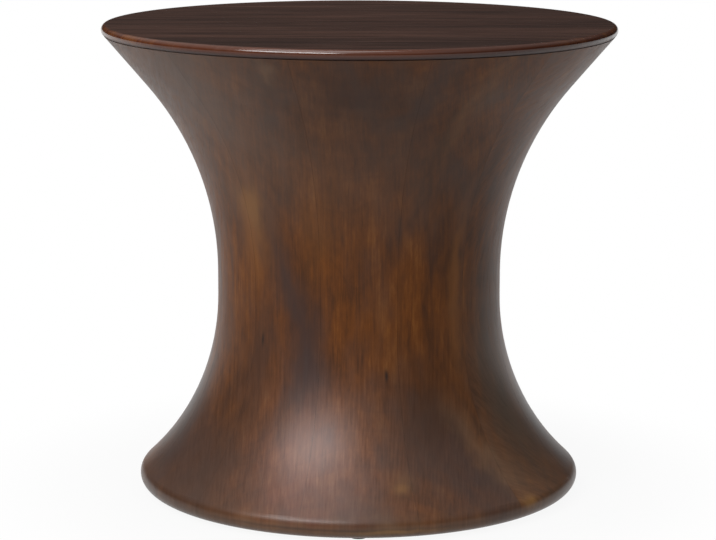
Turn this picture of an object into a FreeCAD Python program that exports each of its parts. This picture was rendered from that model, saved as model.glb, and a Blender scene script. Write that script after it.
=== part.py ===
"""Turned hourglass stool: curved staves, a seat of edge-glued boards, two heads, dowels, screws and glides.

Millimetres, +Z up. The origin is on the floor, on the axis of the stool. The seat boards run along X,
and the first stave faces -Y.
"""

import FreeCAD, Part
import math
import os
from enum import IntEnum
from types import SimpleNamespace

import Sketcher
from FreeCAD import Placement, Rotation, Vector

# Driving dimensions in millimetres, and counts. Diameters are of the finished piece.
DIMENSIONS = {
    # Turned outline
    "overall_height": 460,
    "top_diameter": 500,
    "top_thickness": 10,
    "top_overhang": 2.5,
    "upper_run_length": 62,
    "waist_diameter": 278,
    "waist_height": 194,
    "waist_length": 23,
    "base_diameter": 435,
    "base_edge_radius": 11.5,
    # Staves and heads
    "stave_count": 12,
    "wall_thickness": 32,
    "shoulder_width": 43,
    "foot_width": 26,
    "head_ledge": 12,
    "head_gap": 0.5,
    "upper_head_thickness": 15,
    "base_head_thickness": 15,
    "base_head_recess": 5,
    # Seat boards
    "board_count": 5,
    "turning_allowance": 10,
    # Dowels
    "glue_gap": 0.1,
    "dowel_end_gap": 1.5,
    "dowel_chamfer": 0.8,
    "stave_dowel_diameter": 10,
    "stave_dowel_length": 36,
    "lower_dowel_height": 75,
    "upper_dowel_drop": 80,
    "board_dowel_diameter": 5,
    "board_dowel_length": 30,
    "board_dowel_margin": 60,
    # Screws
    "screw_gap": 0.1,
    "screw_point": 4,
    "top_screw_diameter": 4,
    "top_screw_head": 8,
    "top_screw_cover": 3,
    "top_screw_inset": 17.5,
    "base_screw_diameter": 3.5,
    "base_screw_head": 7,
    "base_screw_bite": 20,
    # Floor glides
    "glide_count": 4,
    "glide_height": 3,
    "glide_diameter": 18,
    "glide_chamfer": 0.8,
    "nail_diameter": 2,
    "nail_length": 18,
    "nail_point": 3,
    "nail_head": 5,
    "nail_head_thickness": 1,
    "nail_recess": 0.5,
}

SHEET = "dims"
UP = Vector(0, 0, 1)
FRONT_DEG = -90.0

# Formulas that several pieces share. A word in braces is the name of a cell.
UNDER_SEAT = "{overall_height} - {top_thickness}"
UPPER_LEDGE = "{overall_height} - {top_thickness} - {upper_head_thickness}"
BASE_LEDGE = "{glide_height} + {base_head_recess} + {base_head_thickness}"
UPPER_RABBET_RADIUS = "{top_diameter} / 2 - {top_overhang} - {shoulder_width}"
BASE_RABBET_RADIUS = "{base_diameter} / 2 - {base_edge_radius} - {foot_width}"
TOP_SCREW_LENGTH = "{upper_head_thickness} + {top_thickness} - {top_screw_cover}"
BASE_SCREW_LENGTH = "{base_head_thickness} + {base_screw_bite}"

# Points of a sketch's line or arc, which are numbered from one, and the sketch's own origin
START, END, CENTRE = IntEnum("Point", "start end centre")
ORIGIN = -1


def make_sheet(doc):
    """The spreadsheet that every size is bound to: a name and a plain number in each row."""
    sheet = doc.addObject("Spreadsheet::Sheet", SHEET)
    for row, (alias, value) in enumerate(DIMENSIONS.items(), start=1):
        sheet.set(f"A{row}", alias)
        sheet.set(f"B{row}", str(value))
        sheet.setAlias(f"B{row}", alias)
    doc.recompute()
    return sheet


def read_sheet(sheet):
    sizes = SimpleNamespace(**{alias: float(sheet.get(alias)) for alias in DIMENSIONS})
    for count in ("stave_count", "board_count", "glide_count"):
        setattr(sizes, count, round(getattr(sizes, count)))
    return sizes


def on_sheet(formula):
    """A formula in which each word in braces is the name of a cell."""
    return formula.replace("{", f"{SHEET}.").replace("}", "")


def bind(obj, prop, formula):
    obj.setExpression(prop, on_sheet(formula))


def hourglass(d):
    """The turned shape that follows from the driving dimensions: radii and heights of the wall's corners."""
    w = SimpleNamespace()
    w.waist_r = d.waist_diameter / 2
    w.waist_top = d.waist_height + d.waist_length

    # The lower flare is one arc. It leaves the waist straight down and runs into the rounded base edge.
    w.edge_r = d.base_diameter / 2 - d.base_edge_radius
    w.edge_z = d.glide_height + d.base_edge_radius
    reach = w.edge_r - w.waist_r
    drop = d.waist_height - w.edge_z
    w.lower_radius = (reach**2 + drop**2 - d.base_edge_radius**2) / (2 * (reach + d.base_edge_radius))
    w.lower_angle = math.atan2(drop, w.lower_radius - reach)

    # The upper flare is an arc and a straight run in line with it, up to the underside of the seat.
    w.top_z = d.overall_height - d.top_thickness
    w.top_r = d.top_diameter / 2 - d.top_overhang
    reach = w.top_r - w.waist_r
    rise = w.top_z - w.waist_top
    tangent = (reach**2 + rise**2 - d.upper_run_length**2) / (2 * (rise + d.upper_run_length))
    w.upper_angle = math.asin(reach / (tangent + d.upper_run_length))
    w.upper_radius = tangent / math.tan(w.upper_angle / 2)

    # Each end of the wall has a rabbet, whose ledge carries a head.
    w.upper_ledge_z = w.top_z - d.upper_head_thickness
    w.upper_rabbet_r = w.top_r - d.shoulder_width
    w.upper_ledge_r = w.upper_rabbet_r - d.head_ledge
    w.base_head_z = d.glide_height + d.base_head_recess
    w.base_ledge_z = w.base_head_z + d.base_head_thickness
    w.base_rabbet_r = w.edge_r - d.foot_width
    w.base_ledge_r = w.base_rabbet_r - d.head_ledge

    # The inside is straight at the waist, and an arc in line with it runs to each ledge.
    w.inner_r = w.waist_r - d.wall_thickness
    w.inner_upper_radius = arc_radius(w.upper_ledge_r - w.inner_r, w.upper_ledge_z - w.waist_top)
    w.inner_lower_radius = arc_radius(w.base_ledge_r - w.inner_r, d.waist_height - w.base_ledge_z)

    # Circles on which screws and glides stand
    w.top_screw_r = w.upper_ledge_r - d.top_screw_inset
    w.base_screw_r = w.base_ledge_r + d.head_ledge / 2
    w.glide_r = w.base_rabbet_r + d.foot_width / 2
    return w


def arc_radius(across, along):
    """Radius of an arc that starts straight and ends this far across and along."""
    return (across**2 + along**2) / (2 * across)


def lower_flare_at(d, w, height, depth):
    """Radius of the lower flare at a height, at a depth into the wall."""
    drop = d.waist_height - height
    return w.waist_r + w.lower_radius - math.sqrt((w.lower_radius + depth) ** 2 - drop**2)


def upper_flare_at(d, w, height, depth):
    """Radius of the upper flare at a height, at a depth into the wall."""
    rise = height - w.waist_top
    radius = w.upper_radius + depth
    if rise < radius * math.sin(w.upper_angle):
        return w.waist_r + w.upper_radius - math.sqrt(radius**2 - rise**2)
    run = (w.top_z - height) * math.tan(w.upper_angle)
    return w.top_r - run - depth / math.cos(w.upper_angle)


def ring(radius, height, first_deg, count):
    """Placements evenly round the axis. Local X points away from it."""
    places = []
    for n in range(count):
        turn = Rotation(UP, first_deg + n * 360 / count)
        places.append(Placement(turn.multVec(Vector(radius, 0, height)), turn))
    return places


def stave_ring(d, radius, height):
    """Placements on the middle of each stave."""
    return ring(radius, height, FRONT_DEG, d.stave_count)


def joint_ring(d, radius, height):
    """Placements on each glued joint between two staves."""
    return ring(radius, height, FRONT_DEG + 180 / d.stave_count, d.stave_count)


def origin_feature(body, role):
    return next(feature for feature in body.Origin.OriginFeatures if feature.Role == role)


def new_sketch(body, name, role):
    sketch = body.newObject("Sketcher::SketchObject", f"{body.Name}_{name}")
    sketch.AttachmentSupport = (origin_feature(body, role), [""])
    sketch.MapMode = "FlatFace"
    return sketch


def relate(sketch, *constraints):
    for constraint in constraints:
        sketch.addConstraint(Sketcher.Constraint(*constraint))


def dimension(sketch, name, formula, *constraint):
    """Adds a named dimension to a sketch and binds it to the sheet."""
    index = sketch.addConstraint(Sketcher.Constraint(*constraint))
    sketch.renameConstraint(index, name)
    bind(sketch, f"Constraints.{name}", formula)


def circle(sketch, name, formula, radius, x, y):
    """Adds a circle whose radius is bound to the sheet, with its centre at a place worked out from it."""
    geo = sketch.addGeometry(Part.Circle(Vector(x, y, 0), UP, radius))
    dimension(sketch, f"{name}_radius", formula, "Radius", geo, radius)
    relate(sketch, ("DistanceX", ORIGIN, START, geo, CENTRE, x), ("DistanceY", ORIGIN, START, geo, CENTRE, y))


def turn_about_axis(body, sketch, name):
    turn = body.newObject("PartDesign::Revolution", f"{body.Name}_{name}")
    turn.Profile = sketch
    turn.ReferenceAxis = (sketch, ["V_Axis"])
    return turn


def turned(doc, name, corners):
    """A body turned about Z. corners are its section's (radius, height) pairs, as formulas."""
    body = doc.addObject("PartDesign::Body", name)
    sketch = new_sketch(body, "section", "XZ_Plane")
    # The section starts as a rough polygon, and its dimensions pull it into shape.
    steps = [math.radians(90 * n / len(corners)) for n in range(len(corners))]
    rough = [Vector(math.cos(step), math.sin(step), 0) for step in steps]
    sides = []
    for start, end in zip(rough, rough[1:] + rough[:1]):
        sides.append(sketch.addGeometry(Part.LineSegment(start, end)))
    for n, (radius, height) in enumerate(corners):
        relate(sketch, ("Coincident", sides[n - 1], END, sides[n], START))
        dimension(sketch, f"radius_{n}", radius, "DistanceX", ORIGIN, START, sides[n], START, rough[n].x)
        dimension(sketch, f"height_{n}", height, "DistanceY", ORIGIN, START, sides[n], START, rough[n].y)
    turn_about_axis(body, sketch, "turned")
    doc.recompute()
    return body


def group(doc, name, master, places):
    """One node that holds a copy of the master at each place."""
    copies = []
    for place in places:
        copy = master.Shape.copy()
        copy.Placement = place
        copies.append(copy)
    feature = doc.addObject("Part::Feature", name)
    feature.Shape = Part.makeCompound(copies)
    return feature


def line(r0, z0, r1, z1):
    return Part.LineSegment(Vector(r0, z0, 0), Vector(r1, z1, 0))


def arc(r, z, radius, start, end):
    return Part.ArcOfCircle(Part.Circle(Vector(r, z, 0), UP, radius), start, end)


def wall_section(body, d, w):
    """The wall's section: an hourglass outside and in, and a rabbet at each end for a head."""
    sketch = new_sketch(body, "section", "XZ_Plane")
    upper_c = (w.waist_r + w.upper_radius, w.waist_top)
    run_start = (
        upper_c[0] - w.upper_radius * math.cos(w.upper_angle),
        upper_c[1] + w.upper_radius * math.sin(w.upper_angle),
    )
    inner_upper_turn = math.asin((w.upper_ledge_z - w.waist_top) / w.inner_upper_radius)
    inner_lower_turn = math.asin((d.waist_height - w.base_ledge_z) / w.inner_lower_radius)
    outline = {
        "foot": line(w.base_rabbet_r, d.glide_height, w.edge_r, d.glide_height),
        "edge": arc(w.edge_r, w.edge_z, d.base_edge_radius, -math.pi / 2, w.lower_angle),
        "lower_flare": arc(w.waist_r + w.lower_radius, d.waist_height, w.lower_radius,
                           math.pi, math.pi + w.lower_angle),
        "waist": line(w.waist_r, d.waist_height, w.waist_r, w.waist_top),
        "upper_flare": arc(*upper_c, w.upper_radius, math.pi - w.upper_angle, math.pi),
        "upper_run": line(*run_start, w.top_r, w.top_z),
        "shoulder": line(w.top_r, w.top_z, w.upper_rabbet_r, w.top_z),
        "upper_rabbet": line(w.upper_rabbet_r, w.top_z, w.upper_rabbet_r, w.upper_ledge_z),
        "upper_ledge": line(w.upper_rabbet_r, w.upper_ledge_z, w.upper_ledge_r, w.upper_ledge_z),
        "inner_upper": arc(w.inner_r + w.inner_upper_radius, w.waist_top, w.inner_upper_radius,
                           math.pi - inner_upper_turn, math.pi),
        "inner_waist": line(w.inner_r, w.waist_top, w.inner_r, d.waist_height),
        "inner_lower": arc(w.inner_r + w.inner_lower_radius, d.waist_height, w.inner_lower_radius,
                           math.pi, math.pi + inner_lower_turn),
        "base_ledge": line(w.base_ledge_r, w.base_ledge_z, w.base_rabbet_r, w.base_ledge_z),
        "base_rabbet": line(w.base_rabbet_r, w.base_ledge_z, w.base_rabbet_r, d.glide_height),
    }
    g = SimpleNamespace(**{name: sketch.addGeometry(curve) for name, curve in outline.items()})
    relate(
        sketch,
        ("Tangent", g.foot, END, g.edge, START),
        ("Tangent", g.edge, END, g.lower_flare, END),
        ("Tangent", g.lower_flare, START, g.waist, START),
        ("Tangent", g.waist, END, g.upper_flare, END),
        ("Tangent", g.upper_flare, START, g.upper_run, START),
        ("Coincident", g.upper_run, END, g.shoulder, START),
        ("Coincident", g.shoulder, END, g.upper_rabbet, START),
        ("Coincident", g.upper_rabbet, END, g.upper_ledge, START),
        ("Coincident", g.upper_ledge, END, g.inner_upper, START),
        ("Tangent", g.inner_upper, END, g.inner_waist, START),
        ("Tangent", g.inner_waist, END, g.inner_lower, START),
        ("Coincident", g.inner_lower, END, g.base_ledge, START),
        ("Coincident", g.base_ledge, END, g.base_rabbet, START),
        ("Coincident", g.base_rabbet, END, g.foot, START),
        ("Horizontal", g.inner_waist, START, g.waist, END),
        ("Horizontal", g.inner_waist, END, g.waist, START),
    )
    relate(sketch, *[("Horizontal", flat) for flat in (g.foot, g.shoulder, g.upper_ledge, g.base_ledge)])
    relate(sketch, *[("Vertical", post) for post in (g.waist, g.upper_rabbet, g.inner_waist, g.base_rabbet)])

    def across(name, formula, geo, point, value):
        dimension(sketch, name, formula, "DistanceX", ORIGIN, START, geo, point, value)

    def above(name, formula, geo, point, value):
        dimension(sketch, name, formula, "DistanceY", ORIGIN, START, geo, point, value)

    above("foot_height", "{glide_height}", g.foot, START, d.glide_height)
    dimension(sketch, "edge_radius", "{base_edge_radius}", "Radius", g.edge, d.base_edge_radius)
    across("edge_centre", "{base_diameter} / 2 - {base_edge_radius}", g.edge, CENTRE, w.edge_r)
    across("waist_radius", "{waist_diameter} / 2", g.waist, START, w.waist_r)
    above("waist_low", "{waist_height}", g.waist, START, d.waist_height)
    above("waist_high", "{waist_height} + {waist_length}", g.waist, END, w.waist_top)
    dimension(sketch, "run", "{upper_run_length}", "Distance", g.upper_run, d.upper_run_length)
    across("shoulder_radius", "{top_diameter} / 2 - {top_overhang}", g.upper_run, END, w.top_r)
    above("shoulder_height", UNDER_SEAT, g.upper_run, END, w.top_z)
    across("bore", "{waist_diameter} / 2 - {wall_thickness}", g.inner_waist, START, w.inner_r)
    across("upper_rabbet", UPPER_RABBET_RADIUS, g.upper_ledge, START, w.upper_rabbet_r)
    across("upper_bore", UPPER_RABBET_RADIUS + " - {head_ledge}", g.upper_ledge, END, w.upper_ledge_r)
    above("upper_ledge_height", UPPER_LEDGE, g.upper_ledge, START, w.upper_ledge_z)
    across("base_rabbet", BASE_RABBET_RADIUS, g.base_ledge, END, w.base_rabbet_r)
    across("base_bore", BASE_RABBET_RADIUS + " - {head_ledge}", g.base_ledge, START, w.base_ledge_r)
    above("base_ledge_height", BASE_LEDGE, g.base_ledge, START, w.base_ledge_z)
    return sketch


def dowel_places(d, w):
    """Radius and height of the dowels across a stave joint, in the middle of the wall."""
    mid_wall = d.wall_thickness / 2
    upper_height = w.top_z - d.upper_dowel_drop
    return [
        (lower_flare_at(d, w, d.lower_dowel_height, mid_wall), d.lower_dowel_height),
        (w.waist_r - mid_wall, d.waist_height + d.waist_length / 2),
        (upper_flare_at(d, w, upper_height, mid_wall), upper_height),
    ]


def drill_up(body, name, radius_formula, radius, place_r, depth_formula):
    """A blind hole up from the floor's level, at a radius on the stave's middle plane."""
    sketch = new_sketch(body, f"{name}_centre", "XY_Plane")
    circle(sketch, name, radius_formula, radius, place_r, 0)
    hole = body.newObject("PartDesign::Pocket", f"{body.Name}_{name}")
    hole.Profile = sketch
    hole.Reversed = True
    bind(hole, "Length", depth_formula)


def glide_staves(d):
    """Numbers of the staves that carry a glide."""
    return [round(n * d.stave_count / d.glide_count) for n in range(d.glide_count)]


def make_stave(doc, index, d, w):
    """One stave, its middle on XZ, with blind holes for its dowels, its base screw and any glide nail."""
    body = doc.addObject("PartDesign::Body", f"stave_{index + 1:02d}")
    blank = turn_about_axis(body, wall_section(body, d, w), "turned")
    blank.Midplane = True
    bind(blank, "Angle", "360 / {stave_count}")

    drill_up(body, "screw_hole", "{base_screw_diameter} / 2 + {screw_gap}",
             d.base_screw_diameter / 2 + d.screw_gap, w.base_screw_r,
             BASE_LEDGE + " + {base_screw_bite} + {screw_gap}")
    if index in glide_staves(d):
        drill_up(body, "nail_hole", "{nail_diameter} / 2 + {screw_gap}",
                 d.nail_diameter / 2 + d.screw_gap, w.glide_r,
                 "{nail_recess} + {nail_length} + {screw_gap}")

    # The dowel holes are drilled square into one glued edge and mirrored to the other.
    centres = new_sketch(body, "dowel_centres", "XZ_Plane")
    centres.AttachmentOffset = Placement(Vector(0, 0, 0), Rotation(Vector(0, 1, 0), 180 / d.stave_count))
    bind(centres, "AttachmentOffset.Rotation.Angle", "180 / {stave_count}")
    hole_r = d.stave_dowel_diameter / 2 + d.glue_gap
    for n, (radius, height) in enumerate(dowel_places(d, w), start=1):
        circle(centres, f"hole_{n}", "{stave_dowel_diameter} / 2 + {glue_gap}", hole_r, radius, height)
    drilled = body.newObject("PartDesign::Pocket", f"{body.Name}_dowel_holes")
    drilled.Profile = centres
    drilled.Reversed = True
    bind(drilled, "Length", "{stave_dowel_length} / 2 + {dowel_end_gap}")
    both = body.newObject("PartDesign::Mirrored", f"{body.Name}_both_edges")
    both.Originals = [drilled]
    both.MirrorPlane = (origin_feature(body, "XZ_Plane"), [""])
    body.Tip = both
    body.Placement = stave_ring(d, 0, 0)[index]
    return body


def make_head(doc, name, rabbet_radius, thickness, screw, hole_r, first_deg, count):
    """A disc that sits in the staves' rabbet, with countersunk screw holes from below round a circle."""
    body = doc.addObject("PartDesign::Body", name)
    disc = new_sketch(body, "outline", "XY_Plane")
    rim = disc.addGeometry(Part.Circle(Vector(0, 0, 0), UP, hole_r))
    relate(disc, ("Coincident", rim, CENTRE, ORIGIN, START))
    dimension(disc, "rim", rabbet_radius + " - {head_gap}", "Radius", rim, hole_r)
    plate = body.newObject("PartDesign::Pad", f"{name}_plate")
    plate.Profile = disc
    bind(plate, "Length", f"{{{thickness}}}")
    doc.recompute()

    centre = new_sketch(body, "screw_centre", "XY_Plane")
    circle(centre, "screw", f"{{{screw}_diameter}} / 2", 1, hole_r, 0)
    doc.recompute()
    hole = body.newObject("PartDesign::Hole", f"{name}_screw_hole")
    hole.Profile = centre
    hole.DepthType = "ThroughAll"
    hole.HoleCutType = "Countersink"
    hole.HoleCutCustomValues = True
    hole.HoleCutCountersinkAngle = 90
    hole.Reversed = True
    bind(hole, "Diameter", f"{{{screw}_diameter}} + 2 * {{screw_gap}}")
    bind(hole, "HoleCutDiameter", f"{{{screw}_head}} + 2 * {{screw_gap}}")
    doc.recompute()
    holes = body.newObject("PartDesign::PolarPattern", f"{name}_screw_holes")
    holes.Originals = [hole]
    holes.Axis = (origin_feature(body, "Z_Axis"), [""])
    holes.Angle = 360
    holes.Occurrences = count
    body.Tip = holes
    body.Placement = Placement(Vector(0, 0, 0), Rotation(UP, first_deg))
    return body


def make_dowel(doc, name):
    """A dowel with chamfered ends, along Z and centred on the origin."""
    half = f"{{{name}_length}} / 2"
    radius = f"{{{name}_diameter}} / 2"
    end_radius = f"{radius} - {{dowel_chamfer}}"
    shoulder = f"{half} - {{dowel_chamfer}}"
    return turned(doc, name, [
        ("0", f"-({half})"),
        (end_radius, f"-({half})"),
        (radius, f"-({shoulder})"),
        (radius, shoulder),
        (end_radius, half),
        ("0", half),
    ])


def make_screw(doc, name, length):
    """A countersunk screw pointing up, with the face of its head on XY."""
    head = f"{{{name}_head}} / 2"
    shank = f"{{{name}_diameter}} / 2"
    return turned(doc, name, [
        ("0", "0"),
        (head, "0"),
        (shank, f"{head} - {shank}"),
        (shank, f"{length} - {{screw_point}}"),
        ("0", length),
    ])


def make_nail(doc):
    """A glide's nail pointing up, with the face of its head on XY."""
    return turned(doc, "glide_nail", [
        ("0", "0"),
        ("{nail_head} / 2", "0"),
        ("{nail_head} / 2", "{nail_head_thickness}"),
        ("{nail_diameter} / 2", "{nail_head_thickness}"),
        ("{nail_diameter} / 2", "{nail_length} - {nail_point}"),
        ("0", "{nail_length}"),
    ])


def make_glide(doc, name, place):
    """A floor glide: a chamfered disc with a counterbored hole, in which the nail's head is sunk."""
    bore = "{nail_diameter} / 2 + {screw_gap}"
    counterbore = "{nail_head} / 2 + {screw_gap}"
    step = "{nail_recess} + {nail_head_thickness}"
    body = turned(doc, name, [
        (counterbore, "0"),
        ("{glide_diameter} / 2 - {glide_chamfer}", "0"),
        ("{glide_diameter} / 2", "{glide_chamfer}"),
        ("{glide_diameter} / 2", "{glide_height}"),
        (bore, "{glide_height}"),
        (bore, step),
        (counterbore, step),
    ])
    body.Placement = place
    return body


def make_seat_disc(doc, d):
    """The whole seat as turned: a disc with a half-round rim, its underside on XY."""
    body = doc.addObject("PartDesign::Body", "seat_disc")
    sketch = new_sketch(body, "section", "XZ_Plane")
    rim_r = d.top_thickness / 2
    flat_r = d.top_diameter / 2 - rim_r
    under = sketch.addGeometry(line(0, 0, flat_r, 0))
    rim = sketch.addGeometry(arc(flat_r, rim_r, rim_r, -math.pi / 2, math.pi / 2))
    face = sketch.addGeometry(line(flat_r, d.top_thickness, 0, d.top_thickness))
    axis = sketch.addGeometry(line(0, d.top_thickness, 0, 0))
    relate(
        sketch,
        ("Coincident", under, START, ORIGIN, START),
        ("Horizontal", under),
        ("Tangent", under, END, rim, START),
        ("Tangent", rim, END, face, START),
        ("Horizontal", face),
        ("Coincident", face, END, axis, START),
        ("Coincident", axis, END, under, START),
        ("Vertical", axis),
    )
    dimension(sketch, "thickness", "{top_thickness}", "DistanceY", axis, END, axis, START, d.top_thickness)
    dimension(sketch, "flat", "({top_diameter} - {top_thickness}) / 2",
              "DistanceX", under, START, under, END, flat_r)
    turn_about_axis(body, sketch, "turned")
    bind(body, "Placement.Base.z", UNDER_SEAT)
    return body


def board_joints(d):
    """Places along Y of the glued joints between seat boards."""
    width = d.top_diameter / d.board_count
    return [n * width - d.top_diameter / 2 for n in range(1, d.board_count)]


def board_dowel_places(d):
    """Three dowels across each joint between boards, in the middle of the boards' thickness."""
    height = d.overall_height - d.top_thickness / 2
    along_y = Rotation(Vector(1, 0, 0), 90)
    places = []
    for y in board_joints(d):
        reach = math.sqrt((d.top_diameter / 2) ** 2 - y**2) - d.board_dowel_margin
        places += [Placement(Vector(x, y, height), along_y) for x in (-reach, 0, reach)]
    return places


def make_board(doc, index, d, disc, holes):
    """One seat board: the strip of the turned disc between two joints, with its holes cut."""
    name = f"top_board_{index + 1}"
    slab = doc.addObject("Part::Box", f"{name}_slab")
    spare_front = "{turning_allowance}" if index == 0 else "0"
    spare_back = "{turning_allowance}" if index == d.board_count - 1 else "0"
    bind(slab, "Length", "{top_diameter} + 2 * {turning_allowance}")
    width = "{top_diameter} / {board_count}"
    bind(slab, "Width", f"{width} + {spare_front} + {spare_back}")
    bind(slab, "Height", "{top_thickness} + 2 * {turning_allowance}")
    bind(slab, "Placement.Base.x", "-{top_diameter} / 2 - {turning_allowance}")
    bind(slab, "Placement.Base.y", f"{index} * {width} - {{top_diameter}} / 2 - {spare_front}")
    bind(slab, "Placement.Base.z", UNDER_SEAT + " - {turning_allowance}")
    strip = doc.addObject("Part::Common", f"{name}_strip")
    strip.Base = disc
    strip.Tool = slab
    board = doc.addObject("Part::Cut", name)
    board.Base = strip
    board.Tool = holes
    return board


def make_seat_holes(doc, d, w):
    """The holes in the seat boards: across the joints for dowels, up from below for screws."""
    dowel_hole = doc.addObject("Part::Cylinder", "board_dowel_hole")
    bind(dowel_hole, "Radius", "{board_dowel_diameter} / 2 + {glue_gap}")
    bind(dowel_hole, "Height", "{board_dowel_length} + 2 * {dowel_end_gap}")
    bind(dowel_hole, "Placement.Base.z", "-{board_dowel_length} / 2 - {dowel_end_gap}")
    screw_hole = doc.addObject("Part::Cylinder", "top_screw_hole")
    bind(screw_hole, "Radius", "{top_screw_diameter} / 2 + {screw_gap}")
    bind(screw_hole, "Height", TOP_SCREW_LENGTH + " + {screw_gap}")
    doc.recompute()
    across = centred_copies(dowel_hole, board_dowel_places(d))
    upward = centred_copies(screw_hole, top_screw_places(d, w))
    holes = doc.addObject("Part::Feature", "seat_holes")
    holes.Shape = Part.makeCompound(across + upward)
    return holes


def centred_copies(master, places):
    return [master.Shape.transformed(place.toMatrix()) for place in places]


def top_screw_places(d, w):
    """Two screws to a board, evenly round a circle, in the upper head's underside."""
    return ring(w.top_screw_r, w.upper_ledge_z, top_screw_start(d), 2 * d.board_count)


def top_screw_start(d):
    return 90 + 90 / d.board_count


def check_document(doc, parts):
    """Stops if any object failed to build, or a piece has no sound shape."""
    for obj in doc.Objects:
        if "Invalid" in obj.State or "Error" in obj.State:
            raise RuntimeError(f"{obj.Label} failed: {obj.State}")
    for part in parts:
        if part.Shape.isNull() or not part.Shape.isValid():
            raise RuntimeError(f"{part.Label} has no valid shape")


def main():
    doc = FreeCAD.newDocument("hourglass_stool")
    d = read_sheet(make_sheet(doc))
    w = hourglass(d)

    parts = [make_stave(doc, index, d, w) for index in range(d.stave_count)]
    doc.recompute()

    upper_head = make_head(doc, "upper_head", UPPER_RABBET_RADIUS, "upper_head_thickness", "top_screw",
                           w.top_screw_r, top_screw_start(d), 2 * d.board_count)
    bind(upper_head, "Placement.Base.z", UPPER_LEDGE)
    base_head = make_head(doc, "base_head", BASE_RABBET_RADIUS, "base_head_thickness", "base_screw",
                          w.base_screw_r, FRONT_DEG, d.stave_count)
    bind(base_head, "Placement.Base.z", "{glide_height} + {base_head_recess}")
    parts += [upper_head, base_head]

    disc = make_seat_disc(doc, d)
    holes = make_seat_holes(doc, d, w)
    parts += [make_board(doc, index, d, disc, holes) for index in range(d.board_count)]

    on_side = Placement(Vector(0, 0, 0), Rotation(Vector(1, 0, 0), 90))
    stave_dowel_places = []
    for radius, height in dowel_places(d, w):
        stave_dowel_places += [place * on_side for place in joint_ring(d, radius, height)]
    parts.append(group(doc, "stave_dowels", make_dowel(doc, "stave_dowel"), stave_dowel_places))
    parts.append(group(doc, "board_dowels", make_dowel(doc, "board_dowel"), board_dowel_places(d)))

    top_screw = make_screw(doc, "top_screw", TOP_SCREW_LENGTH)
    parts.append(group(doc, "top_screws", top_screw, top_screw_places(d, w)))
    base_screw = make_screw(doc, "base_screw", BASE_SCREW_LENGTH)
    parts.append(group(doc, "base_screws", base_screw, stave_ring(d, w.base_screw_r, w.base_head_z)))

    glide_places = [stave_ring(d, w.glide_r, 0)[index] for index in glide_staves(d)]
    nail_places = [stave_ring(d, w.glide_r, d.nail_recess)[index] for index in glide_staves(d)]
    for n, place in enumerate(glide_places, start=1):
        parts.append(make_glide(doc, f"glide_{n}", place))
    parts.append(group(doc, "glide_nails", make_nail(doc), nail_places))

    doc.recompute()
    check_document(doc, parts)
    os.makedirs("parts", exist_ok=True)
    for part in parts:
        part.Shape.exportStep(f"parts/{part.Label}.step")
        print(part.Label, len(part.Shape.Solids), "solids", round(part.Shape.Volume), "mm3")


main()
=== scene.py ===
import math

import bpy
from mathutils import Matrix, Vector

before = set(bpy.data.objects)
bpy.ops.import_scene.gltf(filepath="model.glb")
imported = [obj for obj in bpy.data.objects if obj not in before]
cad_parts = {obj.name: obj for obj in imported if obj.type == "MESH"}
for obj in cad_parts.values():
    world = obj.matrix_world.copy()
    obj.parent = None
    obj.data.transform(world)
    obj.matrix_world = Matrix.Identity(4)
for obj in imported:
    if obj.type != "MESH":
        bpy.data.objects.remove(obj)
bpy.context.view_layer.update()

# The camera stands where the photograph was taken from, for a frame 716 pixels wide.
FRAME_WIDTH = 716
FOCAL_PIXELS = 2605.7
SENSOR_WIDTH = 36
CAMERA_PLACE = (-0.001, -2.527, 0.7035)
CAMERA_PITCH = math.radians(10.93)
CAMERA_ROLL = math.radians(0.13)

# Sizes of the stool that the finishes follow, in metres
STAVE_COUNT = 12
STAVE_ANGLE = 2 * math.pi / STAVE_COUNT
BOARD_COUNT = 5
SEAT_DIAMETER = 0.5
SEAT_HEIGHT = 0.460
SEAT_UNDERSIDE = 0.450
GLIDE_COUNT = 4
RIM_RADIUS = (SEAT_HEIGHT - SEAT_UNDERSIDE) / 2

# The staves are cut from three planks. The face of the first looks this many degrees round from the front.
PLANK_COUNT = 3
PLANK_FACE = -3

# Width of the growth rings, in metres
STAVE_RINGS = 0.010
BOARD_RINGS = 0.006

# Seeds that give the boards and the plywood a grain of their own
FIRST_BOARD_SEED = 11
PLYWOOD_SEED = 21

# Lays the grain of a board along X, and draws its fibres out.
ALONG_BOARD = {"turn": (0, -math.pi / 2, 0), "scale": (0.3, 1, 1)}

# Roughness of the finishes
STAVE_ROUGHNESS = 0.38
SEAT_ROUGHNESS = 0.28
PLYWOOD_ROUGHNESS = 0.6

# Strength of their gloss, where 0.5 is that of plain varnish
STAVE_GLOSS = 0.1
SEAT_GLOSS = 0.42
PLYWOOD_GLOSS = 0.42

# Heights on the staves, in metres, between which the painted pale sheen grows and the second coat ends
PALE_SHEEN_GROWS = (0.24, 0.34)
SECOND_COAT_ENDS = (0.10, 0.19)


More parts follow.
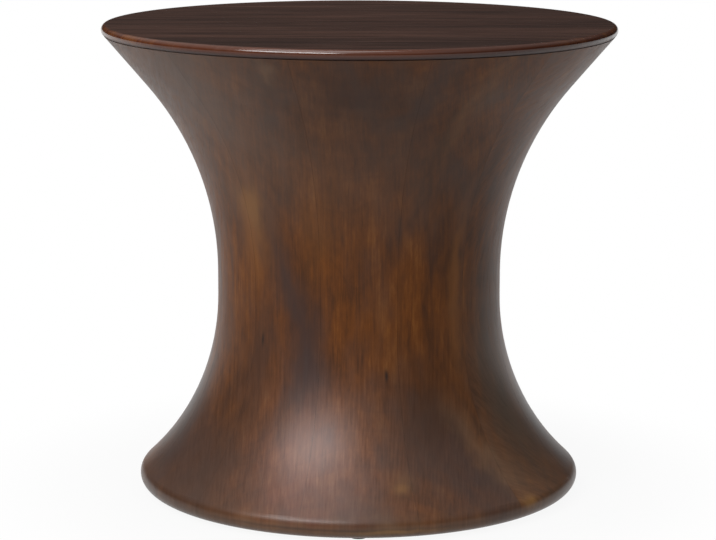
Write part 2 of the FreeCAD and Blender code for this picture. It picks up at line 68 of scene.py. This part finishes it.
class Value:
    """One output socket in a material. Arithmetic on it adds Math nodes, and node() adds any other node."""

    def __init__(self, socket):
        self.socket = socket
        self.tree = socket.id_data

    def node(self, kind, settings, sockets, out=0):
        """Adds a node: first its settings, then the values or links of its sockets. Gives one output."""
        node = self.tree.nodes.new(kind)
        for name, setting in settings.items():
            if name == "stops":
                set_stops(node.color_ramp, setting)
            else:
                setattr(node, name, setting)
        for name, value in sockets.items():
            if isinstance(value, Value):
                self.tree.links.new(value.socket, node.inputs[name])
            else:
                node.inputs[name].default_value = value
        return Value(node.outputs[out])

    def maths(self, operation, *values):
        return self.node("ShaderNodeMath", {"operation": operation}, dict(enumerate(values)))

    def __add__(self, other):
        return self.maths("ADD", self, other)

    def __radd__(self, other):
        return self.maths("ADD", other, self)

    def __sub__(self, other):
        return self.maths("SUBTRACT", self, other)

    def __rsub__(self, other):
        return self.maths("SUBTRACT", other, self)

    def __mul__(self, other):
        return self.maths("MULTIPLY", self, other)

    def __rmul__(self, other):
        return self.maths("MULTIPLY", other, self)

    def __truediv__(self, other):
        return self.maths("DIVIDE", self, other)

    def __pow__(self, other):
        return self.maths("POWER", self, other)


def set_stops(ramp, stops):
    while len(ramp.elements) < len(stops):
        ramp.elements.new(0.5)
    for element, (place, colour) in zip(ramp.elements, stops):
        element.position = place
        element.color = (*colour, 1)


# Small tools for patterns


def new_material(name):
    """A material, its shader, and the place on the piece that its patterns start from."""
    material = bpy.data.materials.new(name)
    material.use_nodes = True
    tree = material.node_tree
    shader = tree.nodes["Principled BSDF"]
    place = Value(tree.nodes.new("ShaderNodeTexCoord").outputs["Object"])
    return material, shader, place


def feed(shader, socket, value):
    value.tree.links.new(value.socket, shader.inputs[socket])


def mapped(place, turn=(0, 0, 0), scale=(1, 1, 1), shift=(0, 0, 0)):
    sockets = {"Vector": place, "Rotation": turn, "Scale": scale, "Location": shift}
    return place.node("ShaderNodeMapping", {}, sockets)


def noise(place, detail=2.0, roughness=0.5, out=0):
    sockets = {"Vector": place, "Scale": 1, "Detail": detail, "Roughness": roughness}
    return place.node("ShaderNodeTexNoise", {}, sockets, out)


def part_of(place, axis):
    return place.node("ShaderNodeSeparateXYZ", {}, {"Vector": place}, axis)


def ease(value, low, high):
    """0 below low, 1 above high and a smooth step between."""
    sockets = {"Value": value, "From Min": low, "From Max": high}
    return value.node("ShaderNodeMapRange", {"interpolation_type": "SMOOTHSTEP"}, sockets)


def blend(amount, below, above):
    """The colour below, covered by the colour above where the amount is 1."""
    below, above = [c if isinstance(c, Value) else (*c, 1) for c in (below, above)]
    return amount.node("ShaderNodeMix", {"data_type": "RGBA"}, {0: amount, 6: below, 7: above}, 2)


# Colours of the stains, of painted shade, sheen and highlights on the staves, and of the seat's rim and its
# painted shade
SMOKE_AND_SHADE = (0.032, 0.019, 0.017)
PAINTED_GREY_SHEEN = (0.050, 0.040, 0.037)
DARK = (0.032, 0.011, 0.004)
WARM = (0.160, 0.058, 0.012)
ROSE_TINT_AND_HIGHLIGHT = (0.140, 0.042, 0.034)
OLIVE = (0.060, 0.045, 0.033)
TAN = (0.150, 0.085, 0.045)
OCHRE = (0.24, 0.12, 0.035)
KNOT = (0.012, 0.005, 0.003)
PAINTED_PALE_SHEEN = (0.16, 0.12, 0.10)
RIM_RED = (0.066, 0.016, 0.005)
RIM_PAINTED_SHADE = (0.018, 0.005, 0.003)

# Marks on the stave faces, stains and some painted shade, sheen and highlights: degrees round from the
# front, height, half width in degrees, half height, lean in degrees per metre of height, strength and
# colour. Lengths are in metres.
STAIN_AND_PAINTED_LIGHT_MARKS = [
    (-27, 0.215, 7.0, 0.075, -130, 0.85, SMOKE_AND_SHADE),
    (-20, 0.145, 8.0, 0.050, 30, 0.95, SMOKE_AND_SHADE),
    # Painted shade on the lower left of the flare
    (-48, 0.060, 15.0, 0.058, 0, 0.9, DARK),
    (24, 0.102, 14.0, 0.050, 0, 0.95, DARK),
    (-42, 0.150, 6.0, 0.040, 0, 0.45, DARK),
    # Painted shade on the front of the foot
    (-4, 0.026, 26.0, 0.026, 0, 0.6, DARK),
    # A rosy tint of the wood and a painted highlight, where the lower flare's highlight falls
    (-15, 0.060, 15.0, 0.055, 0, 0.35, ROSE_TINT_AND_HIGHLIGHT),
    # Painted shade low on the left of the flare
    (-68, 0.050, 13.0, 0.040, 0, 0.7, SMOKE_AND_SHADE),
    # Painted grey sheen at the far left and right edges of the lower flare
    (-84, 0.080, 16.0, 0.055, 0, 0.85, PAINTED_GREY_SHEEN),
    (84, 0.060, 14.0, 0.060, 0, 0.8, PAINTED_GREY_SHEEN),
    (-44, 0.275, 7.0, 0.045, -20, 0.7, WARM),
    # Painted shade on the lower left of the foot
    (-52, 0.030, 20.0, 0.026, 0, 0.7, DARK),
    (41, 0.225, 3.2, 0.070, 0, 0.85, WARM),
    (-41, 0.168, 0.7, 0.006, 0, 1.0, KNOT),
    (10.5, 0.140, 0.7, 0.006, 0, 1.0, KNOT),
    (-3, 0.415, 11.0, 0.032, 0, 0.7, SMOKE_AND_SHADE),
    (17, 0.405, 5.0, 0.040, 60, 0.5, SMOKE_AND_SHADE),
    (-24, 0.412, 3.0, 0.022, 0, 0.4, SMOKE_AND_SHADE),
    (-21, 0.438, 1.6, 0.012, 0, 0.6, TAN),
    (-10, 0.330, 6.0, 0.055, 0, 0.15, WARM),
    # Painted grey sheen across the front of the upper flare
    (0, 0.345, 36.0, 0.065, 0, 0.38, PAINTED_GREY_SHEEN),
    (-15, 0.275, 6.0, 0.040, 0, 0.3, WARM),
    (-42, 0.298, 4.0, 0.022, 0, 0.35, OCHRE),
    (30, 0.405, 3.5, 0.055, 70, 0.3, TAN),
    (36, 0.045, 13.0, 0.040, -100, 0.8, SMOKE_AND_SHADE),
    (62, 0.110, 15.0, 0.110, 0, 0.8, OLIVE),
    (43, 0.065, 5.5, 0.040, -230, 0.4, TAN),
    (49, 0.020, 2.4, 0.006, -100, 0.6, OCHRE),
    (12, 0.047, 2.6, 0.007, 0, 0.3, OCHRE),
    # Pale tan along the front of the foot, a painted highlight on its rounded edge
    (-4, 0.0070, 55.0, 0.0100, 0, 0.55, TAN),
    (-8, 0.0125, 30.0, 0.0014, 0, 0.45, KNOT),
    (9, 0.0095, 11.0, 0.0024, 0, 0.6, OCHRE),
    # Painted pale sheen on the upper left flare
    (-46, 0.415, 22.0, 0.085, 0, 0.5, PAINTED_PALE_SHEEN),
]

# How far the edge of a mark wanders, in metres up and degrees round
DRIFT_UP = 0.05
DRIFT_ROUND = 12
# A mark of less than this half height wanders less.
SMALL_MARK = 0.02

# Colours of the wood from its darkest lines to its palest, in the tones of the stain
STAVE_TONES = [
    (0.0, (0.030, 0.009, 0.002)),
    (0.3, (0.058, 0.017, 0.002)),
    (0.55, (0.106, 0.031, 0.003)),
    (0.8, (0.165, 0.058, 0.010)),
    (1.0, (0.24, 0.10, 0.030)),
]
SEAT_TONES = [
    (0.0, (0.010, 0.005, 0.004)),
    (0.35, (0.024, 0.012, 0.009)),
    (0.65, (0.052, 0.025, 0.018)),
    (1.0, (0.120, 0.062, 0.044)),
]
VENEER_TONES = [
    (0.0, (0.24, 0.13, 0.06)),
    (0.5, (0.42, 0.27, 0.14)),
    (1.0, (0.56, 0.40, 0.24)),
]

# How far each layer of the grain lightens or darkens the wood
GRAIN_WEIGHTS = {"figure": 0.5, "mottle": 0.75, "year": 0.25, "streak": 0.3, "fibre": 0.55}


def wood_grain(place, seed, ring_width):
    """The grain of a plank whose face looks along X and whose fibres run up Z, in layers from 0 to 1."""
    shift = (seed * 3.7, seed * 1.9, seed * 2.3)
    sway = noise(mapped(place, scale=(9, 9, 4), shift=shift), 2)
    figure = noise(mapped(place, scale=(16, 22, 6), shift=shift), 3, 0.55)
    mottle = noise(mapped(place, scale=(50, 75, 30), shift=shift), 4, 0.65)
    fibre = noise(mapped(place, scale=(60, 480, 26), shift=shift), 3, 0.6)
    streak = noise(mapped(place, scale=(18, 150, 6), shift=shift), 2, 0.5)
    pore = noise(mapped(place, scale=(120, 1100, 40), shift=shift), 1)

    # The growth rings are almost flat and lie along the face, so a flare cuts them in arches.
    depth, across = part_of(place, 0), part_of(place, 1)
    grown = (depth + across * across * 0.4 + sway * 0.035 + seed) / ring_width
    sockets = {"W": grown, "Scale": 0.7, "Detail": 2}
    year = grown.node("ShaderNodeTexNoise", {"noise_dimensions": "1D"}, sockets)
    late = grown.maths("FRACT", grown) ** 4
    return {
        "figure": figure,
        "mottle": mottle,
        "fibre": fibre,
        "streak": streak,
        "year": year,
        "late": late,
        "pore": ease(pore, 0.62, 0.72),
    }


def wood_tone(grain, lift):
    """How pale the wood is, from 0 to 1."""
    tone = 0.5 + lift - grain["late"] * 0.05 - grain["pore"] * 0.1
    for layer, weight in GRAIN_WEIGHTS.items():
        tone = tone + (grain[layer] - 0.5) * weight
    return tone


def finish_wood(shader, colour, grain, roughness, gloss):
    """Satin lacquer over the grain, which it does not quite fill."""
    feed(shader, "Base Color", colour)
    feed(shader, "Roughness", roughness + (grain["fibre"] - 0.5) * 0.3 + grain["pore"] * 0.08)
    shader.inputs["Specular IOR Level"].default_value = gloss
    relief = grain["fibre"] * 0.5 - grain["pore"]
    bump = relief.node("ShaderNodeBump", {}, {"Strength": 0.35, "Distance": 0.0001, "Height": relief})
    feed(shader, "Normal", bump)


def stave_material(index):
    """Dark stained wood for one stave, with the grain up the stave."""
    round_deg = math.degrees(index * STAVE_ANGLE)
    if round_deg > 180:
        round_deg -= 360
    material, shader, place = new_material(f"stave_wood_{index + 1:02d}")
    # The staves from one plank stand side by side, and its figure runs on across them.
    per_plank = STAVE_COUNT // PLANK_COUNT
    plank = (index + per_plank // 2) // per_plank % PLANK_COUNT
    face_deg = PLANK_FACE + plank * 360 / PLANK_COUNT
    grain = wood_grain(mapped(place, turn=(0, 0, math.radians(90 - face_deg))), plank + 1, STAVE_RINGS)
    tone = wood_tone(grain, 0.03 * math.sin(index * 4.3 + 1) - 0.02)
    colour = tone.node("ShaderNodeValToRGB", {"stops": STAVE_TONES}, {"Fac": tone})

    # Smoky veils of stain
    smoke_and_sheen_veil = noise(mapped(place, scale=(16, 16, 7), shift=(plank * 5.1, 0, plank)), 3, 0.6)
    colour = blend(ease(smoke_and_sheen_veil, 0.48, 0.72) * 0.45, colour, SMOKE_AND_SHADE)

    # On the stave X points out through its face, Y to the right and Z up.
    own = mapped(place, turn=(0, 0, math.radians(90 - round_deg)))
    out, right, up = [part_of(own, axis) for axis in range(3)]
    angle = right.maths("ARCTAN2", right, out)
    drift = noise(mapped(place, scale=(45, 45, 20)), 2, out=1)
    drift_round, drift_up = [part_of(drift, axis) - 0.5 for axis in range(2)]
    for mark_deg, height, half_deg, half_height, lean, strength, mark_colour in STAIN_AND_PAINTED_LIGHT_MARKS:
        away = mark_deg - round_deg
        if abs(away) > math.degrees(STAVE_ANGLE) / 2 + 2 * half_deg:
            continue
        wander = min(1, half_height / SMALL_MARK)
        rise = up + drift_up * DRIFT_UP * wander - height
        across = angle + drift_round * math.radians(DRIFT_ROUND * wander)
        across = (across - math.radians(away) - rise * math.radians(lean)) / math.radians(half_deg)
        rise = rise / half_height
        mask = rise.maths("EXPONENT", 0 - across * across - rise * rise)
        mask = mask * strength * (0.75 + 0.5 * grain["streak"])
        colour = blend(mask, colour, mark_colour)

    # A thin painted sheen, pale grey, most of it on the upper flare
    colour = blend(smoke_and_sheen_veil * (0.1 + 0.22 * ease(up, *PALE_SHEEN_GROWS)), colour, PAINTED_PALE_SHEEN)

    # A hairline of darker glue at the joints
    to_joint = out * math.sin(STAVE_ANGLE / 2) - right.maths("ABSOLUTE", right) * math.cos(STAVE_ANGLE / 2)
    colour = blend((1 - ease(to_joint, 0.0001, 0.0006)) * 0.25, colour, KNOT)
    finish_wood(shader, colour, grain, STAVE_ROUGHNESS, STAVE_GLOSS)

    # The lower flare has a second coat of lacquer, uneven along the fibres.
    coated = 1 - ease(up, *SECOND_COAT_ENDS)
    feed(shader, "Coat Weight", coated * (0.17 + 0.5 * grain["fibre"]))
    shader.inputs["Coat Roughness"].default_value = STAVE_ROUGHNESS
    return material


def board_material(index):
    """Darker, redder wood for one board of the seat, with the grain along the board."""
    material, shader, place = new_material(f"seat_wood_{index + 1}")
    radius = place.node("ShaderNodeVectorMath", {"operation": "MULTIPLY"}, {0: place, 1: (1, 1, 0)})
    radius = radius.node("ShaderNodeVectorMath", {"operation": "LENGTH"}, {0: radius}, "Value")
    height = part_of(place, 2)
    # The board's face looks along X of the grain, and its length is Z, drawn out for long fibres.
    seed = index + FIRST_BOARD_SEED
    grain = wood_grain(mapped(place, **ALONG_BOARD), seed, BOARD_RINGS)
    tone = wood_tone(grain, 0.07 * math.sin(seed * 2.7))
    colour = tone.node("ShaderNodeValToRGB", {"stops": SEAT_TONES}, {"Fac": tone})
    # The rim is redder.
    rim = ease(radius, SEAT_DIAMETER / 2 - RIM_RADIUS, SEAT_DIAMETER / 2 - RIM_RADIUS * 0.4)
    colour = blend(rim * (0.5 + grain["streak"] * 0.5), colour, RIM_RED)
    # Warm patches show where the rim cuts the ends of the boards.
    along = part_of(place, 0)
    end = ease(along.maths("ABSOLUTE", along), 0.15, 0.24) * rim
    colour = blend(end * ease(grain["mottle"], 0.42, 0.62) * 0.45, colour, WARM)
    # Painted shade darkens the rim's underside, and thinly its right side.
    under = 1 - ease(height, SEAT_UNDERSIDE, SEAT_UNDERSIDE + RIM_RADIUS)
    rim_shade = under * (0.9 - 0.5 * end) + (1 - under) * ease(along, 0.02, 0.10) * 0.4
    colour = blend(rim * rim_shade, colour, RIM_PAINTED_SHADE)
    finish_wood(shader, colour, grain, SEAT_ROUGHNESS - 0.13 * rim + 0.48 * rim * under, SEAT_GLOSS)
    return material


def plywood_material():
    """Bare plywood for the two heads, with the grain of its face veneer from left to right."""
    material, shader, place = new_material("head_plywood")
    grain = wood_grain(mapped(place, **ALONG_BOARD), PLYWOOD_SEED, BOARD_RINGS)
    tone = wood_tone(grain, 0)
    colour = tone.node("ShaderNodeValToRGB", {"stops": VENEER_TONES}, {"Fac": tone})
    finish_wood(shader, colour, grain, PLYWOOD_ROUGHNESS, PLYWOOD_GLOSS)
    return material


def plain_material(name, colour, roughness, metallic=0):
    """A plain material with fine specks in its colour and roughness."""
    material, shader, place = new_material(name)
    speck = noise(mapped(place, scale=(400, 400, 400)), 3)
    feed(shader, "Base Color", blend(speck, [c * 0.75 for c in colour], [min(1, c * 1.2) for c in colour]))
    feed(shader, "Roughness", roughness + (speck - 0.5) * 0.2)
    shader.inputs["Metallic"].default_value = metallic
    return material


def dress(node, material):
    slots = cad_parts[node].data.materials
    slots.clear()
    slots.append(material)


for index in range(STAVE_COUNT):
    dress(f"stave_{index + 1:02d}", stave_material(index))
for index in range(BOARD_COUNT):
    dress(f"top_board_{index + 1}", board_material(index))

plywood = plywood_material()
beech = plain_material("dowel_beech", (0.50, 0.34, 0.19), 0.6)
steel = plain_material("screw_steel", (0.55, 0.55, 0.53), 0.35, 1)
nylon = plain_material("glide_nylon", (0.06, 0.038, 0.028), 0.5)
for node, material in [("upper_head", plywood), ("base_head", plywood), ("stave_dowels", beech),
                       ("board_dowels", beech), ("top_screws", steel), ("base_screws", steel),
                       ("glide_nails", steel)]:
    dress(node, material)
for index in range(GLIDE_COUNT):
    dress(f"glide_{index + 1}", nylon)


def new_camera():
    data = bpy.data.cameras.new("camera")
    data.sensor_width = SENSOR_WIDTH
    data.lens = FOCAL_PIXELS * SENSOR_WIDTH / FRAME_WIDTH
    camera = bpy.data.objects.new("camera", data)
    camera.location = CAMERA_PLACE
    camera.rotation_mode = "ZYX"
    camera.rotation_euler = (math.pi / 2 - CAMERA_PITCH, 0, CAMERA_ROLL)
    bpy.context.scene.collection.objects.link(camera)
    bpy.context.scene.camera = camera


def new_softbox(name, place, target, size, power, gloss=True):
    """A soft lamp that looks at a target, with its power in watts. Without gloss no reflection shows it."""
    data = bpy.data.lights.new(name, "AREA")
    data.shape = "RECTANGLE"
    data.size, data.size_y = size
    data.energy = power
    lamp = bpy.data.objects.new(name, data)
    lamp.location = place
    lamp.visible_glossy = gloss
    aim = Vector(target) - Vector(place)
    lamp.rotation_euler = aim.to_track_quat("-Z", "Y").to_euler()
    bpy.context.scene.collection.objects.link(lamp)


def studio_world():
    """Soft light from above that fades to a dim horizon, with a glow in front and at the sides."""
    world = bpy.data.worlds.new("studio")
    world.use_nodes = True
    tree = world.node_tree
    place = Value(tree.nodes.new("ShaderNodeTexCoord").outputs["Generated"])
    right, back, up = [part_of(place, axis) for axis in range(3)]
    front_glow = ease(0 - back, 0.1, 0.8) * 0.5
    left_glow = ease(0 - right, 0, 0.5) * 0.5
    right_glow = ease(right, 0, 0.5) * 0.1
    glow = ease(up, 0.15, 0.6) * (front_glow + left_glow + right_glow)
    strength = 0.02 + 0.5 * ease(up, 0.35, 0.95) + glow
    tree.links.new(strength.socket, tree.nodes["Background"].inputs["Strength"])
    tree.nodes["Background"].inputs["Color"].default_value = (1, 0.98, 0.96, 1)
    bpy.context.scene.world = world


# The floor lies a hair under the glides, so that the two do not share one plane.
FLOOR_SIZE = 80
FLOOR_DROP = 0.0003


def studio_floor():
    """A floor that is white to the camera and in reflections, and keeps the stool's faint shadow."""
    bpy.ops.object.select_all(action="DESELECT")
    bpy.ops.mesh.primitive_plane_add(size=FLOOR_SIZE, location=(0, 0, -FLOOR_DROP))
    floor = bpy.context.object
    floor.name = "floor"
    material, shader, place = new_material("white_floor")
    shader.inputs["Base Color"].default_value = (0.4, 0.4, 0.4, 1)
    shader.inputs["Roughness"].default_value = 0.9
    tree = material.node_tree
    rays = tree.nodes.new("ShaderNodeLightPath").outputs
    camera, glossy, through = [Value(rays[f"Is {ray} Ray"]) for ray in ("Camera", "Glossy", "Transmission")]

    # Near the stool the lit floor, with its shadow, shows a little through the white.
    away = place.node("ShaderNodeVectorMath", {"operation": "LENGTH"}, {0: place}, "Value")
    white = (camera + glossy + through) * (0.92 + 0.08 * ease(away, 0.22, 0.45))
    glow = place.node("ShaderNodeEmission", {}, {"Color": (1, 1, 1, 1), "Strength": 1})
    lit = Value(shader.outputs["BSDF"])
    both = white.node("ShaderNodeMixShader", {}, {0: white, 1: lit, 2: glow})
    tree.links.new(both.socket, tree.nodes["Material Output"].inputs["Surface"])
    floor.data.materials.append(material)


new_camera()
studio_world()
studio_floor()
new_softbox("key_softbox", (-1.2, -1.9, 2.0), (0, 0, 0.25), (1.8, 0.75), 68)
new_softbox("top_softbox", (-0.4, -0.6, 2.4), (0, 0, 0.3), (1.4, 1.4), 22)
new_softbox("back_softbox", (0.7, 2.3, 1.9), (0, 0, 0.25), (2.2, 0.9), 34, gloss=False)

bpy.context.scene.view_settings.view_transform = "Standard"
